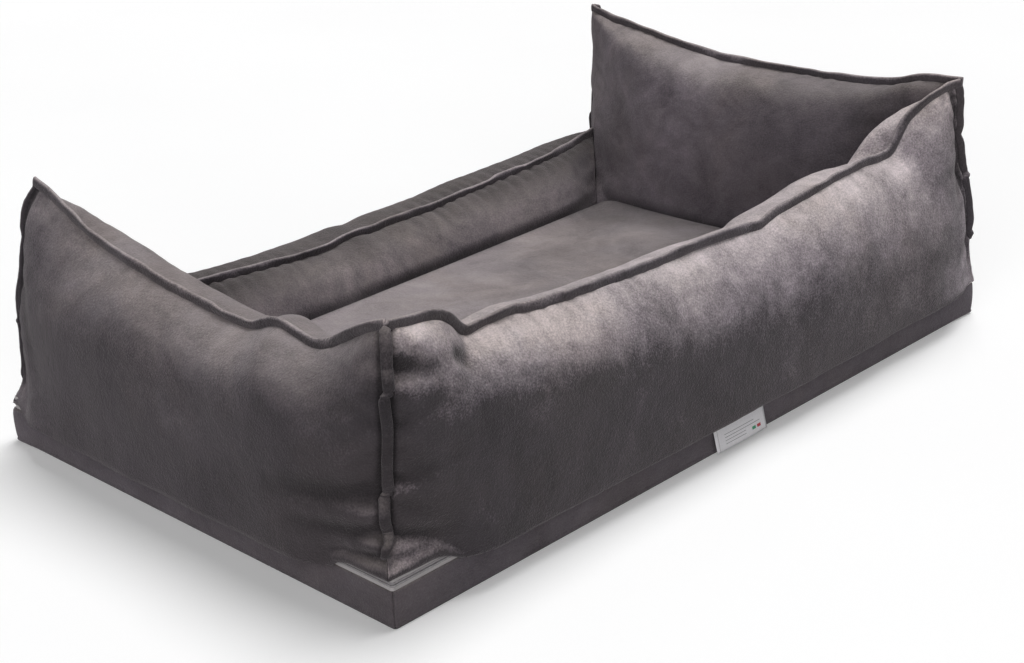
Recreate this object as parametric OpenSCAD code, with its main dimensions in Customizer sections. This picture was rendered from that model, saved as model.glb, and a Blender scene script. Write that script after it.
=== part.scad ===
// Dog sofa bed: a fabric base box, a stuffed surround of four walls that zips onto it, and a loose seat mat.
// Origin at the middle of the underside, +Z up, the low entry side faces -Y and the tall back faces +Y.

/* [Base] */
// Length of the base box, left to right
bed_length = 1000; // [800:10:1200]
// Depth of the base box, front to back
bed_depth = 650; // [540:10:800]
// Height of the base box
base_height = 42; // [34:1:60]
// Radius of the base box's upright corners
base_corner = 14; // [10:1:24]
// Thickness of the base cover cloth
base_cloth = 1.6; // [1:0.1:3]
// Thickness of the non-slip underside
underside = 1.5; // [1:0.1:3]

/* [Walls] */
// Thickness of the back wall at its foot
back_thickness = 112; // [90:1:140]
// Thickness of each arm wall at its foot
arm_thickness = 112; // [90:1:140]
// Thickness of the front roll at its foot
front_thickness = 132; // [100:1:160]
// Height of the piping in the dip of the back wall
back_height = 240; // [200:1:280]
// Height of the piping in the dip of the right arm
right_arm_height = 249; // [200:1:290]
// Height of the piping in the dip of the left arm
left_arm_height = 290; // [240:1:300]
// Height of the piping in the dip of the front roll
front_height = 128; // [115:1:150]
// Height of the piping at both ends of the front roll
front_end_height = 158; // [130:1:190]
// Height of the peak where the back meets the right arm
back_right_peak = 306; // [300:1:340]
// Height of the peak where the back meets the left arm
back_left_peak = 310; // [300:1:340]
// Height of the peak at the front of the right arm
front_right_peak = 313; // [300:1:340]
// Height of the peak at the front of the left arm
front_left_peak = 319; // [300:1:340]
// How far the tall walls bulge past the base
wall_belly = 14; // [4:1:24]
// How far the front roll bulges past the base
front_belly = 4; // [0:1:5]
// Length over which a wall is pinched towards its corner
pinch_length = 150; // [100:5:180]
// Thickness of the wall covers, cloth and its backing
cover_cloth = 2; // [1.5:0.1:3]
// Thickness of the sheet that closes the walls from below
underside_cloth = 1; // [0.6:0.1:2]

/* [Piping] */
// Height of the raised piping on the wall tops
piping_height = 9; // [6:0.5:14]
// Width of the raised piping
piping_width = 4.4; // [3:0.2:6]
// How far the corner piping stands out from the corner seam
corner_piping_reach = 9; // [6:0.5:12]

/* [Seat mat] */
// Thickness of the seat mat at its edge
seat_edge = 34; // [28:1:45]
// Extra thickness of the seat mat in the middle
seat_crown = 7; // [2:1:15]
// Radius of the seat mat's corners
seat_corner = 40; // [20:1:70]
// How far each side of the mat is drawn in between its corners
seat_draw_in = 4; // [1:0.5:8]
// Room between the seat mat and the walls
seat_room = 1; // [0.5:0.1:6]

/* [Zip] */
// Height of the band that the zip takes up between base and walls
zip_band = 15; // [14:0.5:18]
// Thickness of the zip tape
tape_thickness = 0.8; // [0.6:0.1:1]
// Thickness of the zip chain, front to back
chain_thickness = 2; // [1.6:0.1:2.4]
// Height of each half of the zip chain
chain_half = 2.3; // [1.8:0.1:2.5]
// How far the zip tape is set in from the base's side
zip_set_in = 3; // [2.8:0.1:3.4]
// Length of the zip slider
slider_length = 11; // [8:0.5:14]
// Length of the pull tab
pull_length = 22; // [16:1:26]
// Width of the pull tab
pull_width = 6; // [5:0.5:7]
// How far the closed slider lies from the base's end
zip_end_room = 100; // [80:5:200]

/* [Label] */
// Width of the sewn label
label_width = 88; // [50:1:120]
// Height of the sewn label
label_height = 37; // [25:1:38]
// Thickness of the folded label
label_thickness = 0.8; // [0.6:0.1:1.5]
// How far the label's middle lies left of the middle of the back
label_left = 21; // [-200:1:200]

/* [Hidden] */
$fn = 48;

// Clearances
soft_gap = 0.4;
corner_gap = 0.4;
running_gap = 0.4;
lay_gap = 0.3;

// Numbers of rings along a wall, of rows on a corner piping, and of points on the seat mat's outline
wall_rings = 22;
corner_piping_rows = 5;
mat_side_points = 6;
mat_arc_points = 3;

// How quickly the pinch fades away from a corner
pinch_power_share = 1.6;

// How much closer the rings lie at a wall's ends
ring_crowding_share = 0.6;

// Room behind the zip's front for the slider's inner plate
slider_room = 7;

// Heights and places that follow from the base and the zip
zip_top = base_height + zip_band;
foot_z = base_height + lay_gap;
wall_foot_z = foot_z + underside_cloth;
foot_set_in = zip_set_in + slider_room;
lip_set_in = zip_set_in / 2;
seat_line = base_height + seat_edge * 0.7;
tape_front = zip_set_in;
tape_back = zip_set_in + tape_thickness;
chain_front = (tape_front + tape_back - chain_thickness) / 2;
chain_back = chain_front + chain_thickness;
blade = 0.4;
chain_gap = blade + 2 * lay_gap;
chain_middle = base_height + zip_band * 0.45;
lower_chain_top = chain_middle - chain_gap / 2;
upper_chain_bottom = chain_middle + chain_gap / 2;
stop_length = 5;
slider_rest = bed_length / 2 - zip_end_room;
slider_plate = 1.1;
slider_half_height = 3.6;
slider_front = chain_front - running_gap - slider_plate;
lug_width = 1;
lug_reach = 3.2;
lug_height = 3;
pull_thickness = 1.2;
pull_axle = 0.5;
pull_hole = 0.85;
pull_axis_z = chain_middle + 1.4;
pull_axis_stand_off = 2.2;
pull_axis_out = pull_axis_stand_off - slider_front;
eye_radius = 1.7;
eye_width = 2.4;
pull_neck = 4;
label_top = base_height - lay_gap;

// One overrun for every cut
overrun = 1;

// Half sizes and middle of the seat mat
mat_x = bed_length / 2 - arm_thickness - seat_room;
mat_y = (bed_depth - back_thickness - front_thickness) / 2 - seat_room;
mat_centre_y = (front_thickness - back_thickness) / 2;

// Places of a wall section's points between the zip and the seat line.
// Each row holds shares of the wall's thickness, of its belly and of its height above the zip.
tall_middle_shares = [[0, 0.6, -0.11], [0, 1, 0.2], [0.03, 0.75, 0.52], [0.22, 0.1, 0.9],
    [0.36, 0, 1], [0.76, 0, 0.92], [0.93, 0, 0.66], [0.99, 0, 0.32]];
back_corner_shares = [[0.07, 0, 0.02], [0.08, 0, 0.22], [0.12, 0, 0.5], [0.21, 0, 0.9],
    [0.26, 0, 1], [0.31, 0, 0.96], [0.53, 0, 0.62], [0.8, 0, 0.3]];
front_corner_shares = [[0.07, 0, 0.02], [0.08, 0, 0.22], [0.12, 0, 0.5], [0.2, 0, 0.9],
    [0.25, 0, 1], [0.3, 0, 0.96], [0.42, 0, 0.62], [0.66, 0, 0.3]];
roll_middle_shares = [[0.01, 0.4, 0.04], [0, 1, 0.3], [0.04, 0.7, 0.7], [0.18, 0, 0.97],
    [0.55, 0, 1], [0.68, 0, 0.93], [0.87, 0, 0.72], [0.97, 0, 0.45]];
roll_end_shares = [[0.072, 0, 0.06], [0.086, 0, 0.3], [0.118, 0, 0.7], [0.22, 0, 0.95],
    [0.52, 0, 1], [0.65, 0, 0.93], [0.84, 0, 0.72], [0.96, 0, 0.42]];
section_sides = len(tall_middle_shares) + 5;
points_before_root = 7;
points_before_hem = 3;
hem_thickness = 4;
lip_step = 0.5;
hem_rise = 1.2;
hem_slope_share = 2.4;

// The points of a section that the fill keeps
fill_points = [0, 1, 2, 3, 4, 6, 7, 8, 9, 10, 12];

// Places along a wall, as a share of its length, and how much of the rise to the peaks is left there
back_top_shares = [[0, 1], [0.04, 0.75], [0.07, 0.5], [0.11, 0.1], [0.18, 0.12], [0.3, 0], [0.38, -0.15],
    [0.46, 0], [0.57, 0], [0.7, 0.1], [0.8, 0.28], [0.85, 0.22], [0.9, 0.7], [0.94, 0.82], [1, 1]];
right_arm_top_shares = [[0, 1], [0.05, 0.9], [0.1, 0.6], [0.15, 0.25], [0.19, 0.07], [0.27, 0.25], [0.34, 0],
    [0.45, 0.02], [0.57, 0.12], [0.7, 0.36], [0.79, 0.52], [0.86, 0.8], [0.92, 1], [1, 1]];
left_arm_top_shares = [[0, 1], [0.08, 1], [0.13, 0.75], [0.2, 0.65], [0.32, 0.22], [0.42, 0], [0.55, 0.03],
    [0.7, 0.12], [0.8, 0.25], [0.87, 0.5], [0.92, 0.9], [1, 1]];
front_top_shares = [[0, 1], [0.1, 0.85], [0.22, 0.6], [0.3, 0.4], [0.42, 0.1], [0.5, 0], [0.61, 0],
    [0.74, 0.18], [0.8, 0.28], [0.9, 0.65], [1, 1]];

// Rings of the seat mat from the underside's middle to the top's middle: reach, height of the edge, crown
seat_ring_shares = [[0.5, 0, 0], [0.97, 0, 0], [0.994, 0.12, 0], [1, 0.5, 0], [0.994, 0.85, 0], [0.97, 1, 0],
    [0.85, 1, 0.45], [0.6, 1, 0.8], [0.3, 1, 0.97]];

// Each wall: turn, length, distance out, thickness, next walls' thicknesses, heights, tables and belly.
BACK = [0, bed_length, bed_depth / 2, back_thickness, arm_thickness, arm_thickness, back_height,
    back_left_peak, back_right_peak, back_top_shares, tall_middle_shares, back_corner_shares,
    back_corner_shares, wall_belly];
RIGHT_ARM = [-90, bed_depth, bed_length / 2, arm_thickness, back_thickness, front_thickness, right_arm_height,
    back_right_peak, front_right_peak, right_arm_top_shares, tall_middle_shares, back_corner_shares,
    front_corner_shares, wall_belly];
FRONT = [180, bed_length, bed_depth / 2, front_thickness, arm_thickness, arm_thickness, front_height,
    front_end_height, front_end_height, front_top_shares, roll_middle_shares, roll_end_shares,
    roll_end_shares, front_belly];
LEFT_ARM = [90, bed_depth, bed_length / 2, arm_thickness, front_thickness, back_thickness, left_arm_height,
    front_left_peak, back_left_peak, left_arm_top_shares, tall_middle_shares, front_corner_shares,
    back_corner_shares, wall_belly];

function mix(a, b, t) = a + (b - a) * t;
function ease(t) = t * t * (3 - 2 * t);

// Smooth value of a table at s, which lies between its first and last place
function table_at(table, s, i = 0) =
    i >= len(table) - 2 || s <= table[i + 1][0]
    ? mix(table[i][1], table[i + 1][1], ease((s - table[i][0]) / (table[i + 1][0] - table[i][0])))
    : table_at(table, s, i + 1);

// Share of the wall's length at ring k, with the rings closer together at both ends
function ring_share(k, rings) = k / rings - ring_crowding_share * sin(360 * k / rings) / (2 * PI);

// Height of the cover under the piping at share s of the wall
function root_height(wall, s) =
    mix(wall[6], mix(wall[7], wall[8], s), table_at(wall[9], s)) - piping_height - lay_gap;

// How strongly the wall is pinched at share s, from 0 in its middle to 1 at a corner
function pinch(wall, s) = pow(max(0, 1 - min(s, 1 - s) * wall[1] / pinch_length), pinch_power_share);

// One point of the section between the zip and the seat line, as depth from the base's side and height
function shaped_point(wall, s, k) =
    let (end = s < 0.5 ? wall[11] : wall[12], row = mix(wall[10][k], end[k], pinch(wall, s)))
    [row[0] * wall[3] - row[1] * wall[13], mix(zip_top, root_height(wall, s), row[2])];

// The hem stays over the zip where a wall is pinched, and hangs lower only outside it
function hung_hem(p) = [p[0], max(p[1], zip_top + hem_rise - hem_slope_share * (lip_set_in - p[0]))];

// The section for an inner skin, which stays above the hem that hangs over the zip
function above_hem(p) = [for (i = [0:len(p) - 1])
    i == points_before_hem ? [p[i][0], max(p[i][1], zip_top + hem_thickness)] : p[i]];

// The whole closed section at share s, clockwise from the outer foot
function section(wall, s) = let (hem = hung_hem(shaped_point(wall, s, 0))) concat(
    [[foot_set_in, wall_foot_z], [foot_set_in, zip_top + soft_gap],
        [max(lip_set_in, hem[0] - lip_step), zip_top + soft_gap]],
    [hem],
    [for (k = [1:len(wall[10]) - 1]) shaped_point(wall, s, k)],
    [[wall[3], seat_line], [wall[3], wall_foot_z]]);

// A closed section moved inwards by g along its normals
function inset_section(p, g) = [for (i = [0:len(p) - 1])
    let (a = p[(i + len(p) - 1) % len(p)], b = p[i], c = p[(i + 1) % len(p)],
        ab = (b - a) / norm(b - a), bc = (c - b) / norm(c - b),
        n = [ab[1] + bc[1], -ab[0] - bc[0]], turn = 1 + ab * bc)
    b + n * g / max(turn, 0.35)];

// A point of the wall in its own frame: along the wall, out from the bed's middle, up
function wall_point(wall, s, p, g) = [
    mix(-wall[1] / 2 + p[0] * wall[4] / wall[3] + corner_gap + g,
        wall[1] / 2 - p[0] * wall[5] / wall[3] - corner_gap - g, s),
    wall[2] - p[0], p[1]];

// Triangles of the strips from_side to to_side between rings from_ring to to_ring, first point at start
function strip_faces(n, from_side, to_side, from_ring, to_ring, start, flip) =
    [for (r = [from_ring:to_ring - 1], i = [from_side:to_side], half = [0, 1])
        let (a = start + r * n + i, b = start + (r + 1) * n + i, c = start + r * n + (i + 1) % n,
            d = start + (r + 1) * n + (i + 1) % n, t = half == 0 ? [a, b, c] : [c, b, d])
        flip ? [t[2], t[1], t[0]] : t];

// The two end faces of rings of n points each
function end_faces(n, rings, start, flip) =
    let (first = [for (i = [0:n - 1]) start + i], last = [for (i = [n - 1:-1:0]) start + rings * n + i],
        back = [for (i = [n - 1:-1:0]) i])
    flip ? [[for (i = back) first[i]], [for (i = back) last[i]]] : [first, last];

// Faces that join rings of n points each, with both ends closed
function tube_faces(rings, n) = concat(strip_faces(n, 0, n - 1, 0, rings, 0, false),
    end_faces(n, rings, 0, false));

// One skin of a wall cover, with its two ends closed and its underside open but for the two end strips
function skin_faces(n, rings, start, flip) = concat(
    strip_faces(n, 0, n - 2, 0, rings, start, flip),
    strip_faces(n, n - 1, n - 1, 0, 1, start, flip),
    strip_faces(n, n - 1, n - 1, rings - 1, rings, start, flip),
    end_faces(n, rings, start, flip));

// Two triangles of the rim that joins the edge from a to b with the edge from c to d
function rim_faces(a, b, c, d) = [[a, b, c], [a, c, d]];

// A cover is an outer and an inner skin, joined round the open underside
module wall_cover(wall) {
    n = section_sides;
    inner = (wall_rings + 1) * n;
    points = [for (g = [0, cover_cloth], r = [0:wall_rings])
        let (s = ring_share(r, wall_rings), outline = section(wall, s),
            ring = g == 0 ? outline : inset_section(above_hem(outline), g))
        for (p = ring) wall_point(wall, s, [p[0], max(p[1], g == 0 ? 0 : wall_foot_z)], g)];
    rim = [for (r = [1:wall_rings - 2]) each concat(
            rim_faces((r + 1) * n, r * n, inner + r * n, inner + (r + 1) * n),
            rim_faces(r * n + n - 1, (r + 1) * n + n - 1, inner + (r + 1) * n + n - 1, inner + r * n + n - 1))];
    ends = concat(
        rim_faces(n, 2 * n - 1, inner + 2 * n - 1, inner + n),
        rim_faces(wall_rings * n - 1, (wall_rings - 1) * n, inner + (wall_rings - 1) * n,
            inner + wall_rings * n - 1));
    rotate([0, 0, wall[0]]) polyhedron(points, concat(skin_faces(n, wall_rings, 0, false),
        skin_faces(n, wall_rings, inner, true), rim, ends));
}

// The stuffing inside a cover
module wall_fill(wall) {
    g = cover_cloth + soft_gap;
    points = [for (r = [0:wall_rings])
        let (s = ring_share(r, wall_rings), ring = inset_section(above_hem(section(wall, s)), g))
        for (i = fill_points) wall_point(wall, s, ring[i], g)];
    rotate([0, 0, wall[0]]) polyhedron(points, tube_faces(wall_rings, len(fill_points)));
}

// The outline of the piping, as shares of its width and height, clockwise
piping_shares = [[-0.22, 0], [-0.5, 0.3], [-0.42, 0.92], [0, 1], [0.42, 0.92], [0.5, 0.3], [0.22, 0]];

// The raised piping along the top of a wall
module top_piping(wall) {
    n = len(piping_shares);
    points = [for (r = [0:wall_rings])
        let (s = ring_share(r, wall_rings), root = section(wall, s)[points_before_root])
        for (q = piping_shares)
            wall_point(wall, s, [root[0] + q[0] * piping_width,
                root[1] + lay_gap + q[1] * piping_height], 0)];
    rotate([0, 0, wall[0]]) polyhedron(points, tube_faces(wall_rings, n));
}

// The raised piping down a corner: the wall that ends there, at which end, and the corner's two signs
module corner_piping(wall, at_end, side_x, side_y) {
    n = len(piping_shares);
    shares = at_end ? wall[12] : wall[11];
    next = at_end ? wall[5] : wall[4];
    along = abs(wall[0]) == 90 ? [1, next / wall[3]] : [next / wall[3], 1];
    out = along / norm(along);
    root_z = root_height(wall, at_end ? 1 : 0);
    points = [for (r = [0:corner_piping_rows - 1])
        let (depth = shares[r][0] * wall[3],
            foot = [bed_length / 2, bed_depth / 2] - along * depth + out * lay_gap,
            z = mix(zip_top, root_z, shares[r][2]))
        for (q = piping_shares)
            let (p = foot + out * q[1] * corner_piping_reach + [-out[1], out[0]] * q[0] * piping_width)
            [p[0], p[1], z]];
    mirror([side_x < 0 ? 1 : 0, 0, 0]) mirror([0, side_y < 0 ? 1 : 0, 0])
        polyhedron(points, tube_faces(corner_piping_rows - 1, n));
}

// A rectangle with round corners, set in by d from the base's outline
module base_outline(d) {
    radius = base_corner - d;
    x = bed_length / 2 - base_corner;
    y = bed_depth / 2 - base_corner;
    square([2 * x, 2 * (y + radius)], center = true);
    square([2 * (x + radius), 2 * y], center = true);
    for (sx = [-1, 1], sy = [-1, 1]) translate([sx * x, sy * y]) circle(radius);
}

// A band that runs all the way round, between two distances from the base's outline
module round_band(outer, inner, low, high) {
    translate([0, 0, low]) linear_extrude(high - low) difference() {
        base_outline(outer);
        base_outline(inner);
    }
}

module base_cover() {
    color([0.33, 0.3, 0.31]) difference() {
        translate([0, 0, underside]) linear_extrude(base_height - underside) base_outline(0);
        translate([0, 0, underside - overrun])
            linear_extrude(base_height - underside - base_cloth + overrun) base_outline(base_cloth);
    }
}

module bottom_panel() {
    color([0.2, 0.2, 0.21]) linear_extrude(underside) base_outline(0);
}

module base_foam() {
    height = base_height - underside - base_cloth - soft_gap;
    color([0.85, 0.83, 0.75]) translate([0, 0, underside])
        linear_extrude(height) base_outline(base_cloth + soft_gap);
}

module lower_zip_tape() {
    color([0.5, 0.48, 0.49]) round_band(tape_front, tape_back, base_height, lower_chain_top - chain_half);
}

module lower_zip_chain() {
    color([0.56, 0.54, 0.55]) round_band(chain_front, chain_back, lower_chain_top - chain_half, lower_chain_top);
}

module upper_zip_chain() {
    color([0.56, 0.54, 0.55])
        round_band(chain_front, chain_back, upper_chain_bottom, upper_chain_bottom + chain_half);
}

module upper_zip_tape() {
    color([0.5, 0.48, 0.49]) round_band(tape_front, tape_back, upper_chain_bottom + chain_half, zip_top);
}

module zip_end_stop() {
    color([0.45, 0.45, 0.46])
        translate([slider_rest + slider_length / 2 + lay_gap, chain_front - bed_depth / 2, lower_chain_top])
            cube([stop_length, chain_thickness, chain_gap - lay_gap]);
}

// One plate of the slider: a square end that narrows to a nose
module slider_face(front) {
    nose = slider_half_height * 0.6;
    x = slider_length / 2;
    translate([0, front + slider_plate, 0]) rotate([90, 0, 0]) linear_extrude(slider_plate)
        polygon([[-x, -nose], [-x / 2, -slider_half_height], [x, -slider_half_height],
            [x, slider_half_height], [-x / 2, slider_half_height], [-x, nose]]);
}

module zip_slider() {
    back_face = chain_back + running_gap;
    color([0.45, 0.45, 0.46]) translate([slider_rest, -bed_depth / 2, chain_middle]) {
        slider_face(slider_front);
        slider_face(back_face);
        translate([-slider_length / 4, slider_front, -blade / 2])
            cube([slider_length / 2, back_face + slider_plate - slider_front, blade]);
        for (side = [-1, 1])
            translate([side * (eye_width / 2 + running_gap + lug_width / 2) - lug_width / 2,
                slider_front - lug_reach, pull_axis_z - chain_middle - lug_height / 2])
                cube([lug_width, lug_reach, lug_height]);
        translate([0, -pull_axis_out, pull_axis_z - chain_middle]) rotate([0, 90, 0])
            cylinder(r = pull_axle, h = eye_width + 2 * running_gap + 2 * lug_width, center = true);
    }
}

module zip_pull() {
    color([0.45, 0.45, 0.46]) translate([slider_rest, -bed_depth / 2 - pull_axis_out, pull_axis_z])
        difference() {
            union() {
                rotate([0, 90, 0]) cylinder(r = eye_radius, h = eye_width, center = true);
                translate([-eye_width / 2, -pull_thickness / 2, -pull_neck])
                    cube([eye_width, pull_thickness, pull_neck]);
                translate([-pull_width / 2, -pull_thickness / 2, -pull_length])
                    cube([pull_width, pull_thickness, pull_length - pull_neck]);
            }
            rotate([0, 90, 0]) cylinder(r = pull_hole, h = eye_width + 2 * overrun, center = true);
        }
}

// The label is one strip folded along its lower edge and sewn in at the top
module label() {
    y = bed_depth / 2 + soft_gap;
    color([0.86, 0.85, 0.86]) translate([-label_left - label_width / 2, y, label_top - label_height]) {
        translate([0, 0, label_thickness / 2])
            cube([label_width, label_thickness, label_height - label_thickness / 2]);
        translate([0, label_thickness / 2, label_thickness / 2]) rotate([0, 90, 0])
            cylinder(r = label_thickness / 2, h = label_width);
    }
}

// Outline of the seat mat: four sides that are drawn in between their corners, and four round corners
function mat_side(across, along, radius) = [for (j = [0:mat_side_points - 1])
    let (t = 2 * j / (mat_side_points - 1) - 1) [across - seat_draw_in * (1 - t * t), t * (along - radius)]];
function mat_arc(across, along, radius) = [for (a = [1:mat_arc_points])
    [across - radius, along - radius]
        + radius * [cos(90 * a / (mat_arc_points + 1)), sin(90 * a / (mat_arc_points + 1))]];
function mat_quarter(across, along, radius, turn) =
    [for (p = concat(mat_side(across, along, radius), mat_arc(across, along, radius)))
        turn == 0 ? p : turn == 1 ? [-p[1], p[0]] : turn == 2 ? -p : [p[1], -p[0]]];
function mat_outline(x, y, radius) = concat(mat_quarter(x, y, radius, 0), mat_quarter(y, x, radius, 1),
    mat_quarter(x, y, radius, 2), mat_quarter(y, x, radius, 3));

// The seat mat, inset by g
module mat_body(g) {
    outline = mat_outline(mat_x - g, mat_y - g, seat_corner - g);
    n = len(outline);
    rows = len(seat_ring_shares);
    points = concat(
        [[0, mat_centre_y, foot_z + g]],
        [for (q = seat_ring_shares, p = outline)
            [p[0] * q[0], p[1] * q[0] + mat_centre_y,
                foot_z + g + q[1] * (seat_edge - 2 * g) + q[2] * seat_crown]],
        [[0, mat_centre_y, foot_z + seat_edge + seat_crown - g]]);
    last = len(points) - 1;
    faces = concat(
        [for (i = [0:n - 1]) [0, 1 + i, 1 + (i + 1) % n]],
        [for (r = [0:rows - 2], i = [0:n - 1]) [1 + r * n + i, 1 + (r + 1) * n + i, 1 + r * n + (i + 1) % n]],
        [for (r = [0:rows - 2], i = [0:n - 1])
            [1 + r * n + (i + 1) % n, 1 + (r + 1) * n + i, 1 + (r + 1) * n + (i + 1) % n]],
        [for (i = [0:n - 1]) [1 + (rows - 1) * n + i, last, 1 + (rows - 1) * n + (i + 1) % n]]);
    polyhedron(points, faces);
}

module seat_cover() {
    color([0.36, 0.33, 0.34]) difference() {
        mat_body(0);
        mat_body(cover_cloth);
    }
}

module seat_foam() {
    color([0.85, 0.83, 0.75]) mat_body(cover_cloth + soft_gap);
}

module surround_underside() {
    color([0.2, 0.2, 0.21]) translate([0, 0, foot_z]) linear_extrude(underside_cloth) difference() {
        base_outline(foot_set_in);
        translate([0, mat_centre_y]) square([2 * (mat_x + seat_room), 2 * (mat_y + seat_room)], center = true);
    }
}

module back_cover() { color([0.37, 0.34, 0.35]) wall_cover(BACK); }
module right_arm_cover() { color([0.33, 0.3, 0.31]) wall_cover(RIGHT_ARM); }
module left_arm_cover() { color([0.35, 0.32, 0.33]) wall_cover(LEFT_ARM); }
module front_cover() { color([0.34, 0.31, 0.32]) wall_cover(FRONT); }
module back_fill() { color([0.93, 0.93, 0.92]) wall_fill(BACK); }
module right_arm_fill() { color([0.93, 0.93, 0.92]) wall_fill(RIGHT_ARM); }
module left_arm_fill() { color([0.93, 0.93, 0.92]) wall_fill(LEFT_ARM); }
module front_fill() { color([0.93, 0.93, 0.92]) wall_fill(FRONT); }
module back_piping() { color([0.26, 0.24, 0.25]) top_piping(BACK); }
module right_arm_piping() { color([0.26, 0.24, 0.25]) top_piping(RIGHT_ARM); }
module left_arm_piping() { color([0.26, 0.24, 0.25]) top_piping(LEFT_ARM); }
module front_piping() { color([0.26, 0.24, 0.25]) top_piping(FRONT); }
module back_right_corner_piping() { color([0.26, 0.24, 0.25]) corner_piping(RIGHT_ARM, false, 1, 1); }
module back_left_corner_piping() { color([0.26, 0.24, 0.25]) corner_piping(LEFT_ARM, true, -1, 1); }
module front_right_corner_piping() { color([0.26, 0.24, 0.25]) corner_piping(RIGHT_ARM, true, 1, -1); }
module front_left_corner_piping() { color([0.26, 0.24, 0.25]) corner_piping(LEFT_ARM, false, -1, -1); }

base_cover();
bottom_panel();
base_foam();
lower_zip_tape();
lower_zip_chain();
zip_end_stop();
surround_underside();
back_cover();
right_arm_cover();
left_arm_cover();
front_cover();
back_fill();
right_arm_fill();
left_arm_fill();
front_fill();
back_piping();
right_arm_piping();
left_arm_piping();
front_piping();
back_right_corner_piping();
back_left_corner_piping();
front_right_corner_piping();
front_left_corner_piping();
upper_zip_tape();
upper_zip_chain();
seat_cover();
seat_foam();
zip_slider();
zip_pull();
label();
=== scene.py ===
# Looks of a dog sofa bed: stuffed velvet walls with flanged seams, zipped onto a foam base, and a loose
# seat mat.
# Shapes are worked out in millimetres in the frame's own axes and become metres when a mesh is made.

import math
from types import SimpleNamespace

import bpy
import numpy as np
from mathutils import Matrix, Vector


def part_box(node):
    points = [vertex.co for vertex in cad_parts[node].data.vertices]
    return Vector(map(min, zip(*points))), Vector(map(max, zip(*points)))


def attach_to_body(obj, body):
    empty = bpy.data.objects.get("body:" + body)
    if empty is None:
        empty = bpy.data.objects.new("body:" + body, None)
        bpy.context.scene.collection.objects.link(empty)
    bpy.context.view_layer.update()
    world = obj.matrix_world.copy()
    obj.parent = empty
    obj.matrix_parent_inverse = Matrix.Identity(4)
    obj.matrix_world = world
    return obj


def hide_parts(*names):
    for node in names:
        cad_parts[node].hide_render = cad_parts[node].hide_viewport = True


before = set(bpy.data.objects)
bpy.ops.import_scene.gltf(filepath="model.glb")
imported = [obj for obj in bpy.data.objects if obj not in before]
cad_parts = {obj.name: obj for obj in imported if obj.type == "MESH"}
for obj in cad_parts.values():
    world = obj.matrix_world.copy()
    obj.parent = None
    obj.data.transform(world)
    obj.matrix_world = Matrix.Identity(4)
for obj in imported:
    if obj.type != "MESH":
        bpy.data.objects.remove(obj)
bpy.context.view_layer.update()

MM = 0.001


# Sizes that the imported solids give

def node_box(node):
    low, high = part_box(node)
    return np.array(low) / MM, np.array(high) / MM


base_low, base_high = node_box("base_cover")
bed_length = base_high[0] - base_low[0]
bed_depth = base_high[1] - base_low[1]
base_height = base_high[2]
underside_top = base_low[2]
mat_low, mat_high = node_box("seat_cover")
surround_foot = node_box("surround_underside")[1][2]
zip_top = node_box("upper_zip_tape")[1][2]

# Sizes that follow the construction's own values
back_thickness = 112
arm_thickness = 112
front_thickness = 132
front_end_thickness = 110
wall_belly = 14
front_belly = 4
mat_edge = 34
foot_set_in = 10
attach_set_in = 1.5
attach_gap = 0.4
corner_gap = 0.4
piping_height = 9
piping_gap = 0.3
pinch_length = 150
pinch_power = 1.6
seat_line = 65.8

# Sizes that differ from the construction's: tighter corners and a slightly wider flange
base_corner = 5
seat_corner = 20
piping_width = 4.6

# Shares of a wall's thickness, of its belly and of its height above the zip, from the belly to the seat
# line. The row with height share 1 is the flanged seam on top.
SEAM_ROW = 3
TALL_MIDDLE = [[0, 1, .2], [.02, .62, .6], [.13, .25, .82],
               [.36, 0, 1], [.76, 0, .92], [.93, 0, .66], [.99, 0, .32]]
BACK_CORNER = [[.105, 0, .24], [.12, 0, .5], [.21, 0, .9],
               [.26, 0, 1], [.31, 0, .96], [.53, 0, .62], [.8, 0, .3]]
FAR_CORNER = [[.05, 0, .2], [.1, 0, .45], [.21, 0, .9],
              [.26, 0, 1], [.31, 0, .96], [.53, 0, .62], [.8, 0, .3]]
FRONT_CORNER = [[.08, 0, .22], [.12, 0, .5], [.22, 0, .9],
                [.31, 0, 1], [.36, 0, .96], [.46, 0, .62], [.68, 0, .3]]
ROLL_MIDDLE = [[0, 1, .3], [.04, .7, .7], [.18, 0, .97],
               [.55, 0, 1], [.67, 0, .93], [.82, 0, .72], [.93, 0, .42]]
ROLL_END = [[.086, 0, .3], [.118, 0, .7], [.22, 0, .95],
            [.52, 0, 1], [.64, 0, .93], [.8, 0, .72], [.92, 0, .4]]

# Places along a wall, as a share of its length, and the height of the flange's top there
BACK_TOP = [[0, 310], [.02, 307], [.046, 298], [.07, 286], [.088, 262], [.096, 247], [.12, 246], [.16, 249],
            [.22, 246], [.28, 240], [.348, 235], [.375, 228], [.41, 233], [.49, 239], [.58, 239], [.7, 245],
            [.765, 250], [.82, 258], [.872, 257], [.886, 256], [.894, 265], [.902, 274], [.913, 283],
            [.927, 289], [.943, 294], [.966, 297], [1, 306]]
RIGHT_ARM_TOP = [[0, 306], [.03, 299], [.07, 284], [.122, 264], [.168, 254], [.21, 257], [.247, 264],
                 [.28, 261], [.32, 250], [.375, 248], [.466, 252], [.574, 257], [.634, 264], [.723, 272],
                 [.817, 283], [.877, 295], [.94, 310], [1, 322]]
LEFT_ARM_TOP = [[0, 321], [.065, 311], [.163, 308], [.295, 297], [.413, 290], [.528, 291], [.72, 293],
                [.82, 296], [.9, 301], [.93, 310], [.97, 313], [1, 311]]
FRONT_TOP = [[0, 158], [.19, 148], [.273, 141], [.338, 136], [.415, 133], [.469, 139], [.501, 134],
             [.535, 137], [.625, 134], [.685, 137], [.776, 140], [.838, 142], [.947, 146], [1, 150]]

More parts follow.
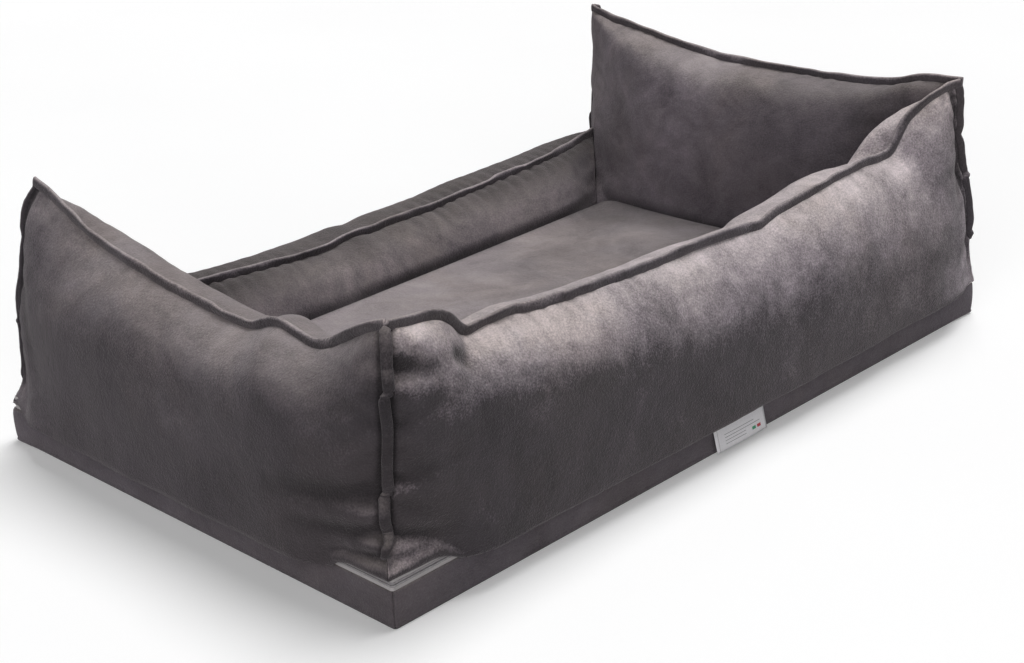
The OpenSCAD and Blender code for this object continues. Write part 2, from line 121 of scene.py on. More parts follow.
# How the hem lies at a corner: the distance from it where the hem starts to hang, the stretch over which it
# does, and three points under the belly as depth from the base's side and height over the zip
OPEN_HEM = (52, 88, (-0.7, -2.4), (-1.8, 0.6), (3.5, 14))
PLAIN_HEM = (22, 62, (0.8, 1.8), (2.6, 7), (6.5, 19))
SHORT_HEM = (8, 78, (-0.8, -9), (-1.8, -5), (4, 11))
LAPPED_HEM = (6, 80, (-0.4, -14), (-0.9, -25), (-1.2, -9))

# Single folds on a wall's outer side: the wall's end, the fold's two ends as distance from there and
# height, its width, the depth of its hollow and the height of the ridge under it
BACK_TUCKS = (
    (1, 8, 262, 74, 248, 12, 6.5, 1.5), (1, 105, 247, 118, 238, 7, 4.5, .3),
    (1, 118, 238, 133, 247, 7, 3.5, .3), (1, 5, 146, 90, 158, 10, 3.6, 1.8),
    (1, 4, 92, 74, 84, 9, 4.6, 1.8), (1, 10, 206, 48, 212, 7, 2, 1),
    (0, 8, 225, 40, 150, 11, 3.5, 2), (0, 26, 190, 60, 110, 12, 2.5, 1.5), (0, 4, 118, 44, 80, 8, 3, 2))
RIGHT_ARM_TUCKS = (
    (0, 4, 138, 150, 118, 13, 5.5, 2), (0, 4, 98, 120, 90, 10, 5, 2), (0, 4, 76, 70, 64, 6, 4.5, 1.5),
    (0, 5, 262, 36, 268, 7, 2.4, 1.2), (0, 5, 208, 52, 214, 8, 2, 1), (0, 5, 164, 40, 158, 7, 2.2, 1.2),
    (1, 14, 250, 40, 150, 12, 3, 1.5), (1, 40, 190, 70, 100, 13, 2.4, 1.4))
LEFT_ARM_TUCKS = (
    (1, 6, 112, 70, 104, 8, 3, 2), (1, 6, 240, 50, 232, 8, 3, 1.5), (0, 8, 180, 50, 110, 12, 2.4, 1.4))

# Each wall: its turn about the middle, its size, its seam's heights, its forms, how low it hangs over the
# base, how far its hem stays smooth, which of its ends stand free, the power on its shoulder's height along
# it (lower is squarer), how its hem lies at its ends, how far its flange's ends stand out, how strong its
# gathers are, and its single folds
WALLS = {
    "back": SimpleNamespace(
        turn=0, length=bed_length, out=bed_depth / 2, thickness=back_thickness,
        end_thickness=back_thickness, next_thickness=(arm_thickness, arm_thickness),
        top=BACK_TOP, middle=TALL_MIDDLE,
        ends=(FAR_CORNER, BACK_CORNER), belly=wall_belly, hang=31, smooth_hem=0, free_ends=(False, False),
        shoulder=((0, .7), (.12, 1), (.55, 1), (.86, .48), (1, .32)), hems=(LAPPED_HEM, OPEN_HEM),
        ears=(9, 1), gathers=1, tucks=BACK_TUCKS),
    "right_arm": SimpleNamespace(
        turn=-90, length=bed_depth, out=bed_length / 2, thickness=arm_thickness,
        end_thickness=arm_thickness, next_thickness=(back_thickness, front_end_thickness),
        top=RIGHT_ARM_TOP, middle=TALL_MIDDLE,
        ends=(BACK_CORNER, FRONT_CORNER), belly=wall_belly, hang=23, smooth_hem=0, free_ends=(False, True),
        shoulder=((0, .45), (.3, .5), (.6, .68), (.8, .9), (1, .9)), hems=(OPEN_HEM, SHORT_HEM),
        ears=(1, 0), gathers=1, tucks=RIGHT_ARM_TUCKS),
    "front": SimpleNamespace(
        turn=180, length=bed_length, out=bed_depth / 2, thickness=front_thickness,
        end_thickness=front_end_thickness, next_thickness=(arm_thickness, arm_thickness), top=FRONT_TOP,
        middle=ROLL_MIDDLE, ends=(ROLL_END, ROLL_END), belly=front_belly, hang=53.5, smooth_hem=10,
        free_ends=(False, False), shoulder=((0, 1), (1, 1)), hems=(PLAIN_HEM, PLAIN_HEM),
        ears=(0, 0), gathers=3.4, tucks=()),
    "left_arm": SimpleNamespace(
        turn=90, length=bed_depth, out=bed_length / 2, thickness=arm_thickness,
        end_thickness=arm_thickness, next_thickness=(front_end_thickness, back_thickness),
        top=LEFT_ARM_TOP, middle=TALL_MIDDLE,
        ends=(FRONT_CORNER, FAR_CORNER), belly=wall_belly, hang=29, smooth_hem=0, free_ends=(True, False),
        shoulder=((0, .8), (.3, 1), (.7, 1), (1, .7)), hems=(PLAIN_HEM, LAPPED_HEM),
        ears=(3, 9), gathers=1, tucks=LEFT_ARM_TUCKS),
}

# How far the stuffed corners lean over the base: signs of the corner's x and y, heights, distances there
LEAN_WAY = np.array([-0.71, 0.70, 0.0])
LEAN_REACH = 215
LEANS = [((1, 1), (60, 110, 140, 170, 200, 230, 260, 297), (-3, -4, -1, 2, 5, 6, 8, 10)),
         ((1, -1), (57, 80, 110, 170, 200, 260, 304), (4, 8, 9, 10, 12, 13, 14)),
         ((-1, 1), (60, 95, 115, 130, 150, 170, 195, 230, 260, 285, 301),
          (-2, 0, 2, 1, -2, -5, -7, -6, -2, 4, 9)),
         ((-1, -1), (57, 150, 200, 230, 260, 285, 310), (0, 0, 5, 8, 10, 8, 6))]


# Small helpers for shapes

def mix(a, b, t):
    return a + (b - a) * t


def ease(t):
    t = np.clip(t, 0, 1)
    return t * t * (3 - 2 * t)


def unit(v):
    return v / np.maximum(np.linalg.norm(v, axis=-1, keepdims=True), 1e-9)


def bell(x, width):
    return np.exp(-(x / width) ** 2)


def norm(v):
    return np.linalg.norm(v, axis=-1)


def run_along(path):
    """Distance along a path at each of its points."""
    return np.concatenate([[0], np.cumsum(norm(np.diff(path, axis=0)))])


LATTICE = 32
lattice_values = np.random.RandomState(11).uniform(-1, 1, (LATTICE,) * 3)


def noise(points, size, seed=0):
    """Smooth noise from -1 to 1 at the points, with lumps of the given size."""
    q = np.asarray(points, dtype=float) / size + seed * np.array([7.31, 3.17, 5.73])
    cell = np.floor(q).astype(int)
    t = q - cell
    t = t * t * t * (t * (t * 6 - 15) + 10)
    total = 0
    for corner in np.ndindex(2, 2, 2):
        index = (cell + corner) % LATTICE
        weight = np.prod(np.where(np.array(corner) == 1, t, 1 - t), axis=-1)
        total = total + weight * lattice_values[index[..., 0], index[..., 1], index[..., 2]]
    return total


def noise_along(a, size, seed=0):
    """The same noise on a line."""
    return noise(np.stack([a, np.zeros_like(a) + 0.37 * size, np.zeros_like(a)], -1), size, seed)


def turned(points, degrees):
    """Points turned about the upright axis."""
    a = math.radians(degrees)
    c, s = round(math.cos(a)), round(math.sin(a))
    result = np.array(points, dtype=float)
    result[..., 0] = c * points[..., 0] - s * points[..., 1]
    result[..., 1] = s * points[..., 0] + c * points[..., 1]
    return result


def smooth_curve(keys, counts):
    """Points on smooth curves through keys of shape (rings, keys, 2), with a count for each stretch."""
    keys = np.concatenate([2 * keys[:, :1] - keys[:, 1:2], keys, 2 * keys[:, -1:] - keys[:, -2:-1]], 1)
    steps = np.linalg.norm(np.diff(keys, axis=1), axis=-1, keepdims=True) ** 0.5
    knots = np.concatenate([np.zeros_like(steps[:, :1]), np.cumsum(np.maximum(steps, 1e-3), 1)], 1)
    stretches = []
    for i, count in enumerate(counts):
        p = [keys[:, i + j:i + j + 1] for j in range(4)]
        k = [knots[:, i + j:i + j + 1] for j in range(4)]
        t = mix(k[1], k[2], np.linspace(0, 1, count, endpoint=False)[None, :, None])
        a = [mix(p[j], p[j + 1], (t - k[j]) / (k[j + 1] - k[j])) for j in range(3)]
        b = [mix(a[j], a[j + 1], (t - k[j]) / (k[j + 2] - k[j])) for j in range(2)]
        stretches.append(mix(b[0], b[1], (t - k[1]) / (k[2] - k[1])))
    stretches.append(keys[:, -2:-1])
    return np.concatenate(stretches, 1)


def loop_faces(rings, around, closed=True):
    """Quads between rings of points, from the last ring back to the first one where closed."""
    r = np.arange(rings if closed else rings - 1)[:, None]
    i = np.arange(around)[None, :]
    a = r * around + i
    b = r * around + (i + 1) % around
    c = (r + 1) % rings * around + (i + 1) % around
    d = (r + 1) % rings * around + i
    return np.stack([a, b, c, d], -1).reshape(-1, 4).tolist()


def closed_faces(rings, around):
    """Quads between rings of points, with a face over the first ring and one over the last."""
    first = list(range(around))[::-1]
    last = [(rings - 1) * around + i for i in range(around)]
    return loop_faces(rings, around, closed=False) + [first, last]


def shrunk(outline, share, z):
    """The outline at a share of its size about the middle, at a height."""
    return outline * np.array([share, share, 1]) + np.array([0, 0, z])


def drawn_in(outline, outward, inset, z):
    """The outline moved inwards, at a height."""
    return outline - outward * inset + np.array([0, 0, z])


def add_object(name, data):
    thing = bpy.data.objects.new(name, data)
    bpy.context.scene.collection.objects.link(thing)
    return thing


def make_piece(name, points, faces, material, body):
    """A mesh object in metres that rides on a body."""
    mesh = bpy.data.meshes.new(name)
    mesh.from_pydata((np.asarray(points).reshape(-1, 3) * MM).tolist(), [], faces)
    mesh.validate()
    mesh.update()
    mesh.polygons.foreach_set("use_smooth", [True] * len(mesh.polygons))
    mesh.materials.append(material)
    piece = add_object(name, mesh)
    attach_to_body(piece, body)
    return piece


def make_solid(name, rings, material, body):
    """A piece from rings of points, with a face over its first ring and one over its last."""
    return make_piece(name, rings, closed_faces(*np.shape(rings)[:2]), material, body)


# Camera

CAMERA_PLACE = Vector((1.5683, 1.5865, 1.0121))
CAMERA_YAW = 0.7923
CAMERA_PITCH = 0.4050
CAMERA_ROLL = -0.04896
CAMERA_LENS = 70.43
SENSOR_WIDTH = 36


def make_camera():
    cos_yaw, sin_yaw = math.cos(CAMERA_YAW), math.sin(CAMERA_YAW)
    cos_pitch, sin_pitch = math.cos(CAMERA_PITCH), math.sin(CAMERA_PITCH)
    forward = Vector((-cos_yaw * cos_pitch, -sin_yaw * cos_pitch, -sin_pitch))
    level = Vector((-sin_yaw, cos_yaw, 0))
    upright = level.cross(forward)
    right = math.cos(CAMERA_ROLL) * level + math.sin(CAMERA_ROLL) * upright
    up = math.cos(CAMERA_ROLL) * upright - math.sin(CAMERA_ROLL) * level
    data = bpy.data.cameras.new("camera")
    data.sensor_fit = "HORIZONTAL"
    data.sensor_width = SENSOR_WIDTH
    data.lens = CAMERA_LENS
    camera = add_object("camera", data)
    turn = Matrix((right, up, -forward)).transposed().to_4x4()
    camera.matrix_world = Matrix.Translation(CAMERA_PLACE) @ turn
    bpy.context.scene.camera = camera


# Materials

class Nodes:
    """A node tree, with short ways to add and join nodes."""

    def __init__(self, tree):
        self.tree = tree
        tree.nodes.clear()

    def node(self, kind, inputs=(), **settings):
        node = self.tree.nodes.new(kind)
        for key, value in settings.items():
            setattr(node, key, value)
        for key, value in dict(inputs).items():
            if isinstance(value, bpy.types.NodeSocket):
                self.tree.links.new(value, node.inputs[key])
            else:
                node.inputs[key].default_value = value
        return node

    def math(self, operation, a, b=0.0):
        return self.node("ShaderNodeMath", {0: a, 1: b}, operation=operation).outputs[0]

    def spread(self, value, low, high, to_low=0.0, to_high=1.0):
        return self.node("ShaderNodeMapRange", {
            "Value": value, "From Min": low, "From Max": high, "To Min": to_low,
            "To Max": to_high}).outputs[0]

    def total(self, *shares, middle=None):
        """Sum of values times their weights, each value counted from the middle where one is given."""
        result = None
        for value, weight in shares:
            if middle is not None:
                value = self.math("SUBTRACT", value, middle)
            part = self.math("MULTIPLY", value, weight)
            result = self.math("ADD", result, part) if result else part
        return result

    def axis(self, name, vector):
        return self.node("ShaderNodeSeparateXYZ", {"Vector": vector}).outputs[name]

    def scaled(self, colour, factor):
        inputs = {"Vector": colour, "Scale": factor}
        return self.node("ShaderNodeVectorMath", inputs, operation="SCALE").outputs[0]

    def seen(self):
        """1 for what the camera sees, mirrored and through glass too, and 0 for other light."""
        rays = self.node("ShaderNodeLightPath").outputs
        indirect = self.math("MAXIMUM", rays["Is Glossy Ray"], rays["Is Transmission Ray"])
        return self.math("MAXIMUM", rays["Is Camera Ray"], indirect)

    def ramp(self, value, *stops):
        ramp = self.node("ShaderNodeValToRGB", {"Fac": value})
        elements = ramp.color_ramp.elements
        while len(elements) < len(stops):
            elements.new(0.5)
        for element, (position, colour) in zip(elements, stops):
            element.position = position
            element.color = (*colour, 1)
        return ramp.outputs["Color"]

    def mix_colour(self, factor, a, b, blend="MIX"):
        return self.node("ShaderNodeMix", {"Factor": factor, "A": a, "B": b}, data_type="RGBA",
                         blend_type=blend).outputs["Result"]


class Shader(Nodes):
    """A material's node tree."""

    def __init__(self, name):
        self.material = bpy.data.materials.new(name)
        self.material.use_nodes = True
        super().__init__(self.material.node_tree)
        self.output = self.tree.nodes.new("ShaderNodeOutputMaterial")
        self.place = self.tree.nodes.new("ShaderNodeTexCoord").outputs["Object"]

    def noise(self, scale, detail=4, roughness=0.55, distortion=0, place=None):
        return self.node("ShaderNodeTexNoise", {
            "Vector": place or self.place, "Scale": scale, "Detail": detail, "Roughness": roughness,
            "Distortion": distortion}).outputs["Fac"]

    def bump(self, height, distance, strength=1.0, before=None):
        inputs = {"Height": height, "Distance": distance, "Strength": strength}
        if before:
            inputs["Normal"] = before
        return self.node("ShaderNodeBump", inputs).outputs["Normal"]

    def finish(self, **inputs):
        shader = self.node("ShaderNodeBsdfPrincipled", {k.replace("_", " "): v for k, v in inputs.items()})
        self.tree.links.new(shader.outputs[0], self.output.inputs["Surface"])
        return self.material


# How far the painted shade between walls and seat mat reaches, in metres
CREVICE_SHADE_REACH = 0.014


def near_mat_edge(s):
    """1 at the seat mat's top edge, fading to 0 beside it and over it: the mask of the painted shade there.
    """
    middle = (mat_low + mat_high) / 2 * MM
    half = (mat_high - mat_low) / 2 * MM

    def past_side(axis, i):
        from_middle = s.math("ABSOLUTE", s.math("SUBTRACT", s.axis(axis, s.place), middle[i]))
        return s.math("SUBTRACT", from_middle, half[i])

    away = s.math("ABSOLUTE", s.math("MAXIMUM", past_side("X", 0), past_side("Y", 1)))
    over = s.math("SUBTRACT", s.axis("Z", s.place), (mat_low[2] + mat_edge) * MM)
    return s.math("MULTIPLY", s.spread(away, 0.0, CREVICE_SHADE_REACH, 1.0, 0.0),
                  s.spread(over, 0.0, CREVICE_SHADE_REACH, 1.0, 0.0))


# Tints of the velvet: slow shifts of hue, and the tint that goes with the painted light from above, from
# the painted shade on upright places to the painted light on upward ones
HUES = ((0.1, (1.0, 0.93, 0.9)), (0.5, (0.97, 0.93, 0.945)), (0.9, (0.97, 0.925, 0.972)))
PAINTED_LIGHT_TINTS = ((0.1, (0.985, 0.95, 1.035)), (0.9, (1.0, 0.985, 0.967)))
SHEEN_TINT = (0.82, 0.76, 0.78, 1)

# Painted shade at a velvet fold's deepest place and painted highlight on its ridge, as factors on the
# colour
FOLD_PAINTED_SHADE = 0.45
FOLD_PAINTED_HIGHLIGHT = 1.18

# How far the clouds in the pile shift the border of the painted light ramp, as a share of the border's
# width
RAMP_WANDER = 0.45


def velvet(name, dark, light, sheen, shade, mottle=1.0, light_ramp=("X", -1, 1, 1, 1),
           crevice_shade=0.0, raised=0.0):
    """Short-pile cloth: clouds and strokes where the pile lies differently, over a fine slanting grain.

    Painted light from above: places that look up are painted lighter and upright ones painted darker,
    with a tint that goes with that. shade: how light the painted shade leaves the upright places.
    mottle: how strong the clouds and strokes are.
    The light ramp: an axis, two places on it in metres, and how light the cloth is at each, as painted
    light and shade that grow along that axis.
    The crevice factor: how much darker the cloth is painted where walls and seat mat press against each
    other, a painted shade.
    raised: how much of the light ramp's painted light also lifts the painted shade on upright places.
    """
    s = Shader(name)
    cloud = s.spread(s.noise(8, 5, 0.6, 0.9), 0.32, 0.68)
    stretched = s.node("ShaderNodeMapping", {
        "Vector": s.place, "Rotation": (0.5, 0.6, 0.4), "Scale": (1.0, 0.55, 0.8)}).outputs[0]
    stroke = s.spread(s.noise(26, 6, 0.7, 0.6, stretched), 0.32, 0.7)
    fleck = s.spread(s.noise(480, 2, 0.6), 0.35, 0.75)
    tone = s.total((cloud, 0.36 * mottle), (stroke, 0.34 * mottle), (fleck, 0.3))
    colour = s.ramp(tone, (0.08, dark), (0.92, light))
    hue = s.spread(s.noise(5.5, 3, 0.6, 0.5), 0.35, 0.65)
    colour = s.mix_colour(0.6, colour, s.ramp(hue, *HUES), "MULTIPLY")
    # Painted light from above: the colour grows lighter as the surface looks up and darker where it stands
    # upright
    upward = s.axis("Z", s.tree.nodes.new("ShaderNodeTexCoord").outputs["Normal"])
    wander = s.total((cloud, 0.16), (stroke, 0.12), (fleck, 0.14), middle=0.5)
    # Painted light and shade that grow along one axis, with a border that the clouds shift
    axis, first, last, first_light, last_light = light_ramp
    shift = s.total((cloud, RAMP_WANDER * (last - first)), middle=0.5)
    painted_ramp_light = s.spread(s.math("ADD", s.axis(axis, s.place), shift), first, last, first_light, last_light)
    # The ramp's painted light also lifts the painted shade on upright places
    if raised:
        wander = s.math("ADD", wander, s.total((painted_ramp_light, raised), middle=1.0))
    painted_top_light = s.spread(s.math("ADD", upward, wander), 0.12, 0.84)
    colour = s.mix_colour(1.0, colour, s.ramp(painted_top_light, *PAINTED_LIGHT_TINTS), "MULTIPLY")
    colour = s.scaled(colour, s.spread(painted_top_light, 0.0, 1.0, shade, 1.0))
    colour = s.scaled(colour, painted_ramp_light)
    # Painted shade in the folds' hollows and painted highlight on their ridges, from the stored fold depth
    fold = s.node("ShaderNodeAttribute", attribute_name="fold").outputs["Fac"]
    hollow = s.spread(fold, -1.0, 0.0, FOLD_PAINTED_SHADE, 1.0)
    ridge = s.spread(fold, 0.0, 1.0, 1.0, FOLD_PAINTED_HIGHLIGHT)
    colour = s.scaled(colour, s.math("MULTIPLY", hollow, ridge))
    # Painted shade where walls and seat mat press against each other
    if crevice_shade:
        colour = s.scaled(colour, s.math("SUBTRACT", 1.0, s.math("MULTIPLY", near_mat_edge(s), crevice_shade)))
    slanted = s.node("ShaderNodeMapping", {
        "Vector": s.place, "Rotation": (-0.615, -0.785, 0.0), "Scale": (1.0, 1.0, 1.4)},
        vector_type="TEXTURE").outputs[0]
    speckle = s.math("MULTIPLY", s.noise(520, 3, 0.75), 0.6)
    grain = s.math("ADD", s.noise(560, 2, 0.6, 0.0, slanted), speckle)
    normal = s.bump(grain, 0.0015, 0.8)
    normal = s.bump(s.noise(60, 5, 0.62, 0.6), 0.003, 0.4, normal)
    return s.finish(Base_Color=colour, Roughness=s.spread(stroke, 0, 1, 0.78, 0.95), Normal=normal,
                    Sheen_Weight=sheen * 0.8, Sheen_Roughness=0.45, Sheen_Tint=SHEEN_TINT,
                    Specular_IOR_Level=0.2)


def plain_cloth(name, dark, light):
    """Plain woven cloth."""
    s = Shader(name)
    warp, weft = [s.node("ShaderNodeTexWave", {"Vector": s.place, "Scale": 900, "Distortion": 1.0},
                         bands_direction=axis).outputs["Fac"] for axis in "XZ"]
    weave = s.math("MULTIPLY", warp, weft)
    tone = s.total((weave, 0.5), (s.noise(60, 4), 0.5))
    return s.finish(Base_Color=s.ramp(tone, (0.1, dark), (0.8, light)), Roughness=0.85,
                    Normal=s.bump(weave, 0.0002, 0.6), Specular_IOR_Level=0.25)


# On the tag, in millimetres: the thin lines' start from its end, their half height, and the height and half
# length of each, then its hemmed edge and its coloured marks as place, half size and colour
LINES_START = 16
LINE_HALF = 0.35
LINES_ON_TAG = ((17, 26), (13.5, 31), (10, 18), (6.5, 18))
LINE_COLOUR = (0.34, 0.33, 0.35, 1)
TAG_HEM = (5, 18, 0.4, 20, (0.55, 0.54, 0.56, 1))
TAG_MARKS = ((66, 8, 3.2, 1.7, (0.06, 0.32, 0.17, 1)), (75, 8, 3.2, 1.7, (0.5, 0.06, 0.08, 1)))


def printed_tag(name):
    """Pale woven tag with a hemmed edge, thin lines and two small coloured marks."""
    s = Shader(name)
    low, high = (corner * MM for corner in node_box("label"))
    axes = s.node("ShaderNodeSeparateXYZ", {"Vector": s.place}).outputs

    def patch(x, z, half_x, half_z):
        """1 inside a rectangle whose middle is at x from the tag's end and z over its foot."""
        sides = (("X", high[0] - x * MM, half_x * MM), ("Z", low[2] + z * MM, half_z * MM))
        near = [s.node("ShaderNodeMath", {0: axes[axis], 1: at, 2: half}, operation="COMPARE").outputs[0]
                for axis, at, half in sides]
        return s.math("MULTIPLY", *near)

    colour = s.ramp(s.noise(700, 2), (0.3, (0.84, 0.82, 0.85)), (0.7, (0.94, 0.92, 0.95)))
    lines = [(LINES_START + half, z, half, LINE_HALF, LINE_COLOUR) for z, half in LINES_ON_TAG]
    for *place, paint in (TAG_HEM, *lines, *TAG_MARKS):
        colour = s.mix_colour(patch(*place), colour, paint)
    return s.finish(Base_Color=colour, Roughness=0.75, Normal=s.bump(s.noise(900, 2), 0.0002, 0.4),
                    Specular_IOR_Level=0.3)


def dotted_cloth(name):
    """Non-slip cloth with small raised dots."""
    s = Shader(name)
    dots = s.node("ShaderNodeTexVoronoi", {
        "Vector": s.place, "Scale": 180, "Randomness": 0.0}).outputs["Distance"]
    dot = s.spread(dots, 0.28, 0.34, 1.0, 0.0)
    ground = s.ramp(s.noise(80), (0.3, (0.03, 0.03, 0.032)), (0.7, (0.055, 0.055, 0.058)))
    return s.finish(Base_Color=s.mix_colour(dot, ground, (0.012, 0.012, 0.012, 1)),
                    Roughness=s.spread(dot, 0, 1, 0.9, 0.5), Normal=s.bump(dot, 0.0006, 0.7))


def painted_metal(name):
    """Grey lacquered zinc with rubbed, slightly rough places."""
    s = Shader(name)
    rub = s.spread(s.noise(140, 5, 0.6), 0.35, 0.7)
    return s.finish(Base_Color=s.ramp(rub, (0.2, (0.16, 0.155, 0.16)), (0.9, (0.3, 0.29, 0.3))),
                    Metallic=0.7, Roughness=s.spread(rub, 0, 1, 0.32, 0.5),
                    Normal=s.bump(s.noise(900, 2), 0.0001, 0.3))


def coil_plastic(name):
    """Nylon coil of a zip."""
    s = Shader(name)
    tone = s.noise(300, 3)
    return s.finish(Base_Color=s.ramp(tone, (0.3, (0.24, 0.22, 0.23)), (0.7, (0.36, 0.34, 0.35))),
                    Roughness=0.42, Normal=s.bump(tone, 0.0001, 0.3))


# Walls

OUTER_COUNTS = (5, 5, 6, 10, 16, 18, 16)
INNER_COUNTS = (18, 17, 15, 12)
FOOT_COUNT = 4
CAP_COLUMNS = 8
CAP_SHARES = np.linspace(0, 1, CAP_COLUMNS + 1)[1:-1]
RING_STEP = 3.6
SEAM_SOFTNESS = 7

# How much closer the rings stand at a wall's ends, and over which distance it reaches its full thickness
RING_CROWDING = 0.35
END_REACH = 90

# Distance from one fold to the next: gathers under the seam, creases at the corners and pulls over the hem
GATHER_STEP = 21
CREASE_STEP = 27
PULL_STEP = 33

# How far a free end is puffed, as a share of its width, the height where that starts and its full reach
CAP_PUFF = 0.16
PUFF_START = 172
PUFF_REACH = 40


def seam_height(wall, s):
    """Height of the flanged seam's foot at share s of the wall: its table with the angles rounded off."""
    places, heights = np.array(wall.top).T
    even = np.linspace(0, 1, 601)
    reach = np.arange(-40, 41)
    kernel = np.exp(-(reach / 601 * wall.length / SEAM_SOFTNESS) ** 2 / 2)
    line = np.pad(np.interp(even, places, heights), 40, mode="reflect", reflect_type="odd")
    line = np.convolve(line, kernel / kernel.sum(), mode="valid")
    return np.interp(s, even, line) - piping_height - piping_gap


def corner_distance(wall, s):
    return np.minimum(s, 1 - s) * wall.length


def pinch(wall, s):
    return np.maximum(0, 1 - corner_distance(wall, s) / pinch_length) ** pinch_power


def thickness_at(wall, s):
    return mix(wall.end_thickness, wall.thickness, ease(corner_distance(wall, s) / END_REACH))


def wall_keys(wall, s):
    """Depth from the base's side and height of the section's key points, row by row."""
    ends = np.where((s < 0.5)[:, None, None], np.array(wall.ends[0]), np.array(wall.ends[1]))
    rows = mix(np.array(wall.middle)[None], ends, pinch(wall, s)[:, None, None])
    power = np.interp(s, *np.array(wall.shoulder).T)
    for row in range(1, SEAM_ROW):
        rows[:, row, 2] = rows[:, row, 2] ** power
    depth = rows[..., 0] * thickness_at(wall, s)[:, None] - rows[..., 1] * wall.belly
    height = mix(zip_top, seam_height(wall, s)[:, None], rows[..., 2])
    return np.stack([depth, height], -1)


def wall_section(wall, s):
    """The outer and the inner half of the section: from the foot up to the seam, and from the seam down."""
    keys = wall_keys(wall, s)
    ring = np.ones_like(s)
    last = (s > 0.5).astype(int)
    hem = np.array([[start, length, *np.ravel(points)] for start, length, *points in wall.hems])[last]
    sag = ease((corner_distance(wall, s) - hem[:, 0]) / hem[:, 1])[:, None]

    def point(depth, height):
        return np.stack([ring * depth, ring * height], -1)

    attach = point(attach_set_in, zip_top + attach_gap)
    low = wall.hang
    belly = wall.belly
    hung = [point(-0.22 * belly, mix(low, zip_top, 0.62)), point(-0.6 * belly, low),
            point(-1.02 * belly, low + 12)]
    pinched = [hem[:, 2 + 2 * i:4 + 2 * i] + np.array([0, zip_top]) for i in range(3)]
    skirt = [mix(pinched[i], hung[i], sag) for i in range(3)]
    outer_keys = np.stack([attach, *skirt, *[keys[:, k] for k in range(SEAM_ROW + 1)]], 1)
    outer = smooth_curve(outer_keys, OUTER_COUNTS)
    foot = [point(foot_set_in, surround_foot),
            point(np.maximum(foot_set_in, attach[:, 0] + 0.3), zip_top + attach_gap)]
    climb = [mix(foot[0], foot[1], t) for t in np.linspace(0, 1, FOOT_COUNT)]
    shelf = [mix(foot[1], attach, t) for t in np.linspace(0, 1, FOOT_COUNT)[1:-1]]
    outer = np.concatenate([np.stack(climb + shelf, 1), outer], 1)
    thickness = thickness_at(wall, s)
    top_of_seat = point(thickness, seat_line)
    inner_keys = np.stack([*[keys[:, k] for k in range(SEAM_ROW, len(wall.middle))], top_of_seat], 1)
    inner = smooth_curve(inner_keys, INNER_COUNTS)
    last_foot = point(thickness, surround_foot)
    missing = outer.shape[1] - inner.shape[1]
    fall = [mix(top_of_seat, last_foot, t) for t in np.linspace(0, 1, missing + 1)[1:]]
    return outer, np.concatenate([inner, np.stack(fall, 1)], 1)


def mitres(wall, depth, gap):
    """Where the wall starts and ends at a depth from the base's side."""
    before, after = (t / wall.end_thickness for t in wall.next_thickness)
    return -wall.length / 2 + depth * before + gap, wall.length / 2 - depth * after - gap


def place_on_wall(wall, s, section):
    """Points of the section at share s in the wall's own frame: along it, out from the middle, up."""
    depth = section[..., 0]
    first, last = mitres(wall, depth, corner_gap)
    share = s.reshape(s.shape + (1,) * (depth.ndim - 1))
    return np.stack([mix(first, last, share), wall.out - depth, section[..., 1]], -1)


def ring_normals(points):
    around = np.roll(points, -1, 1) - np.roll(points, 1, 1)
    along = np.gradient(points, axis=0)
    return unit(np.cross(around, along))


def wall_grid(wall):
    """The wall's points as rings of equal length, in its own frame, with what their relief needs."""
    rings = int(wall.length / RING_STEP)
    s = np.linspace(0, 1, rings)
    s = s - RING_CROWDING * np.sin(2 * math.pi * s) / (2 * math.pi)
    outer, inner = wall_section(wall, s)
    half = outer.shape[1]
    across = [mix(inner[:, -1], outer[:, 0], t) for t in CAP_SHARES]
    section = np.concatenate([outer, inner[:, 1:], np.stack(across, 1)], 1)
    points = place_on_wall(wall, s, section)
    steps = norm(np.diff(section, axis=1))
    run = np.concatenate([np.zeros((rings, 1)), np.cumsum(steps, 1)], 1)
    seam = half - 1
    attach = 2 * FOOT_COUNT - 2
    return SimpleNamespace(
        points=points, half=half, seam=seam, attach=attach, foot=2 * half - 2,
        from_seam=np.abs(run - run[:, seam:seam + 1]), from_attach=run - run[:, attach:attach + 1],
        above_seat=run[:, 2 * half - 2:2 * half - 1] - run - (seat_line - surround_foot),
        corner=corner_distance(wall, s)[:, None] * np.ones_like(run),
        outside=np.arange(section.shape[1])[None, :] <= seam)


def tucked(wall, along, height):
    """Relief of single folds: end of the wall, ends of the fold as distance from there and height, width,
    depth of the hollow and height of the ridge under it."""
    relief = 0
    for end, e0, z0, e1, z1, width, depth, ridge in wall.tucks:
        e = wall.length / 2 + (-along if end else along)
        line = np.array([e1 - e0, z1 - z0])
        share = ((e - e0) * line[0] + (height - z0) * line[1]) / (line @ line)
        held = np.clip(share, 0, 1)
        off_e = e - e0 - held * line[0]
        off_z = height - z0 - held * line[1]
        below = -(off_z * line[0] - off_e * line[1]) / np.linalg.norm(line)
        fade = (1 - 0.75 * held) * np.exp(-(np.hypot(off_e, off_z) / (2.4 * width)) ** 4)
        hollow = bell(np.hypot(off_e, off_z), width)
        crest = bell(below - 2.0 * width, width) * np.exp(-((share - held) * 6) ** 2)
        relief = relief + fade * (ridge * crest - depth * hollow)
    return relief


def seam_folds(phase, step, strength, uneven, distance, reach, start):
    """Parallel folds that start at a seam and fade away from it."""
    wave = np.sin(2 * math.pi * phase / step) * uneven
    return strength * wave * np.exp(-distance / reach) * distance / (distance + start)


# Depth of a fold that gets the full painted shade, in millimetres
DEEP_FOLD = 2.8


